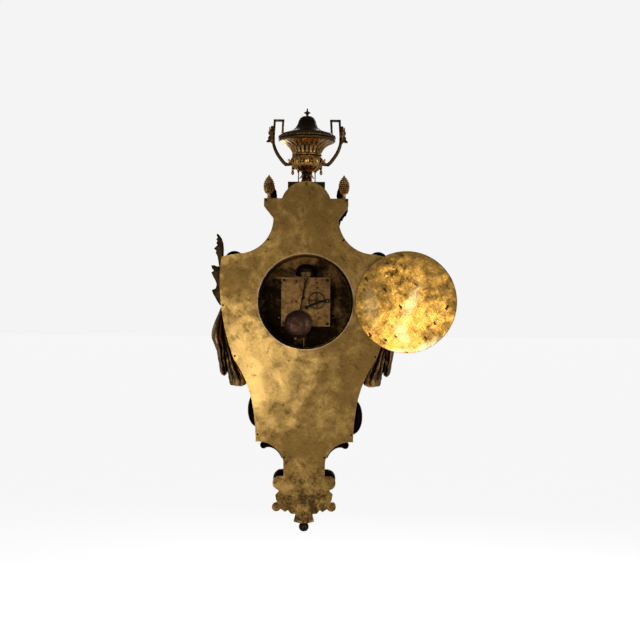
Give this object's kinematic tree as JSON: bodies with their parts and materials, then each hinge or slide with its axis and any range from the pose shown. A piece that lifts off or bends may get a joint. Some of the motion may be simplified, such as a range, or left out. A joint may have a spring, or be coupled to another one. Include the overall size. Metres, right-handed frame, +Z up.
{
  "type": "cartel clock",
  "caption": "Gilt-bronze wall clock with urn finial, cast drapes and leaf terminal, round hinged back door, glazed bezel, striking movement and swinging pendulum.",
  "frame": {"origin": "mouth of the hanging hole near the top of the back plate, on its rear face", "axes": "+Z up, +Y towards the wall out of the hanging hole, the dial faces -Y, X across"},
  "size_m": [0.4568, 0.1564, 0.7953],
  "materials": {
    "gilt_cast": "aged gilding on cast bronze",
    "gilt_sheet": "aged brass sheet",
    "gilt_bright": "polished gilding",
    "door_brass": "worn polished brass",
    "clock_brass": "dull brass",
    "dark_steel": "dark steel",
    "bell_metal": "bell bronze",
    "bob_copper": "brown patina",
    "enamel": "white enamel on copper",
    "glass": "clear domed glass"
  },
  "bodies": {
    "case": {"back_plate": "gilt_sheet", "case_band": "gilt_cast", "case_front": "gilt_cast", "movement_drum": "gilt_sheet", "bezel_seat": "gilt_bright", "urn_plinth": "gilt_cast", "urn_foot": "gilt_cast", "urn_body": "gilt_cast", "urn_lid": "gilt_cast", "urn_finial": "gilt_cast", "urn_handles": "gilt_cast", "pinecones": "gilt_cast", "laurel_garlands": "gilt_cast", "drapes": "gilt_cast", "leaf_sprays": "gilt_cast", "scrolls": "gilt_cast", "terminal_leaf": "gilt_cast", "apron_rosette": "gilt_cast", "dial_plate": "gilt_sheet", "enamel_dial": "enamel", "door_hinge_fixed": "gilt_sheet", "bezel_hinge_fixed": "gilt_sheet", "movement_rear_plate": "clock_brass", "movement_front_plate": "clock_brass", "movement_pillars": "clock_brass", "screws": "dark_steel", "suspension_cock": "clock_brass", "bell": "bell_metal", "bell_stand": "clock_brass", "clicks": "dark_steel", "bob_hook": "clock_brass"},
    "back_door": {"back_door": "door_brass", "door_hinge_leaf": "door_brass"},
    "latch": {"door_latch": "dark_steel"},
    "bezel": {"bezel_ring": "gilt_bright", "bezel_glass": "glass", "bezel_hinge_leaf": "gilt_sheet"},
    "pendulum": {"pendulum_rod": "clock_brass", "pendulum_bob": "bob_copper"},
    "rating_nut": {"rating_nut": "clock_brass"},
    "crutch": {"crutch": "dark_steel"},
    "going_barrel": {"going_barrel": "clock_brass", "going_mainspring": "dark_steel"},
    "going_second": {"going_second_wheel": "clock_brass"},
    "centre": {"centre_wheel": "clock_brass"},
    "third": {"third_wheel": "clock_brass"},
    "escape": {"escape_wheel": "clock_brass"},
    "strike_barrel": {"strike_barrel": "clock_brass", "strike_mainspring": "dark_steel"},
    "strike_second": {"strike_second_wheel": "clock_brass"},
    "pin": {"pin_wheel": "clock_brass"},
    "locking": {"locking_wheel": "clock_brass"},
    "fly": {"fly": "clock_brass"},
    "hammer": {"hammer": "dark_steel"},
    "detent": {"count_detent": "dark_steel"},
    "minute_hand": {"minute_hand": "gilt_bright"},
    "minute_wheel": {"minute_wheel": "clock_brass"},
    "hour_hand": {"hour_hand": "gilt_bright"},
    "going_winder": {"going_winder": "dark_steel"},
    "strike_winder": {"strike_winder": "dark_steel"}
  },
  "joints": [
    {"name": "back_door_hinge", "type": "hinge", "parent": "case", "child": "back_door", "pos_m": [-0.0905, 0.002, -0.2242], "axis": [0, 0, 1], "range_deg": [-168, 12]},
    {"name": "latch_turn", "type": "hinge", "parent": "back_door", "child": "latch", "pos_m": [-0.25588, 0.0392, -0.2282], "axis": [-0.2079, -0.9781, 0], "range_deg": [-28, 62]},
    {"name": "bezel_hinge", "type": "hinge", "parent": "case", "child": "bezel", "pos_m": [0.103, -0.0888, -0.2177], "axis": [0, 0, 1], "range_deg": [0, 110]},
    {"name": "pendulum_swing", "type": "hinge", "parent": "case", "child": "pendulum", "pos_m": [0, -0.02, -0.1747], "axis": [0, 1, 0], "range_deg": [0, 19]},
    {"name": "crutch_swing", "type": "hinge", "parent": "case", "child": "crutch", "pos_m": [0, -0.02, -0.1747], "axis": [0, 1, 0], "range_deg": [0, 19]},
    {"name": "rating_nut_turn", "type": "hinge", "parent": "pendulum", "child": "rating_nut", "pos_m": [0.01867, -0.02, -0.28625], "axis": [-0.165, 0, 0.9863], "continuous": true},
    {"name": "third_wheel_turn", "type": "hinge", "parent": "case", "child": "third", "pos_m": [0.00661, -0.05, -0.20048], "axis": [0, 1, 0], "continuous": true},
    {"name": "centre_wheel_turn", "type": "hinge", "parent": "case", "child": "centre", "pos_m": [0, -0.05, -0.2177], "axis": [0, 1, 0], "continuous": true},
    {"name": "going_second_turn", "type": "hinge", "parent": "case", "child": "going_second", "pos_m": [0.02081, -0.05, -0.21491], "axis": [0, 1, 0], "continuous": true},
    {"name": "going_barrel_turn", "type": "hinge", "parent": "case", "child": "going_barrel", "pos_m": [0.024, -0.05, -0.2387], "axis": [0, 1, 0], "continuous": true},
    {"name": "escape_wheel_turn", "type": "hinge", "parent": "case", "child": "escape", "pos_m": [0, -0.05, -0.18591], "axis": [0, 1, 0], "continuous": true},
    {"name": "pin_wheel_turn", "type": "hinge", "parent": "case", "child": "pin", "pos_m": [-0.01604, -0.05, -0.19709], "axis": [0, 1, 0], "continuous": true},
    {"name": "strike_second_turn", "type": "hinge", "parent": "case", "child": "strike_second", "pos_m": [-0.02081, -0.05, -0.21491], "axis": [0, 1, 0], "continuous": true},
    {"name": "strike_barrel_turn", "type": "hinge", "parent": "case", "child": "strike_barrel", "pos_m": [-0.024, -0.05, -0.2387], "axis": [0, 1, 0], "continuous": true},
    {"name": "locking_wheel_turn", "type": "hinge", "parent": "case", "child": "locking", "pos_m": [-0.02956, -0.05, -0.19347], "axis": [0, 1, 0], "continuous": true},
    {"name": "fly_turn", "type": "hinge", "parent": "case", "child": "fly", "pos_m": [-0.02573, -0.05, -0.18294], "axis": [0, 1, 0], "continuous": true},
    {"name": "hammer_swing", "type": "hinge", "parent": "case", "child": "hammer", "pos_m": [-0.03, -0.05, -0.1757], "axis": [0, 1, 0], "range_deg": [-16, 0]},
    {"name": "detent_lift", "type": "hinge", "parent": "case", "child": "detent", "pos_m": [-0.041, -0.05, -0.2157], "axis": [0, 1, 0], "range_deg": [-8, 0]},
    {"name": "minute_hand_turn", "type": "hinge", "parent": "case", "child": "minute_hand", "pos_m": [0, -0.05, -0.2177], "axis": [0, 1, 0], "continuous": true},
    {"name": "minute_wheel_turn", "type": "hinge", "parent": "case", "child": "minute_wheel", "pos_m": [0, -0.05, -0.2051], "axis": [0, 1, 0], "continuous": true},
    {"name": "hour_hand_turn", "type": "hinge", "parent": "case", "child": "hour_hand", "pos_m": [0, -0.05, -0.2177], "axis": [0, 1, 0], "continuous": true},
    {"name": "going_winder_turn", "type": "hinge", "parent": "case", "child": "going_winder", "pos_m": [0.024, -0.05, -0.2387], "axis": [0, 1, 0], "continuous": true},
    {"name": "strike_winder_turn", "type": "hinge", "parent": "case", "child": "strike_winder", "pos_m": [-0.024, -0.05, -0.2387], "axis": [0, 1, 0], "continuous": true}
  ],
  "couplings": [
    {"joint": "crutch_swing", "follows": "pendulum_swing", "ratio": 1},
    {"joint": "centre_wheel_turn", "follows": "third_wheel_turn", "ratio": -0.13889},
    {"joint": "going_second_turn", "follows": "third_wheel_turn", "ratio": 0.023148},
    {"joint": "going_barrel_turn", "follows": "third_wheel_turn", "ratio": -0.0033069},
    {"joint": "escape_wheel_turn", "follows": "third_wheel_turn", "ratio": -7},
    {"joint": "strike_second_turn", "follows": "pin_wheel_turn", "ratio": -0.13889},
    {"joint": "strike_barrel_turn", "follows": "pin_wheel_turn", "ratio": 0.019841},
    {"joint": "locking_wheel_turn", "follows": "pin_wheel_turn", "ratio": -6},
    {"joint": "fly_turn", "follows": "pin_wheel_turn", "ratio": 32.4},
    {"joint": "minute_wheel_turn", "follows": "minute_hand_turn", "ratio": -0.33333},
    {"joint": "hour_hand_turn", "follows": "minute_hand_turn", "ratio": 0.083333}
  ]
}
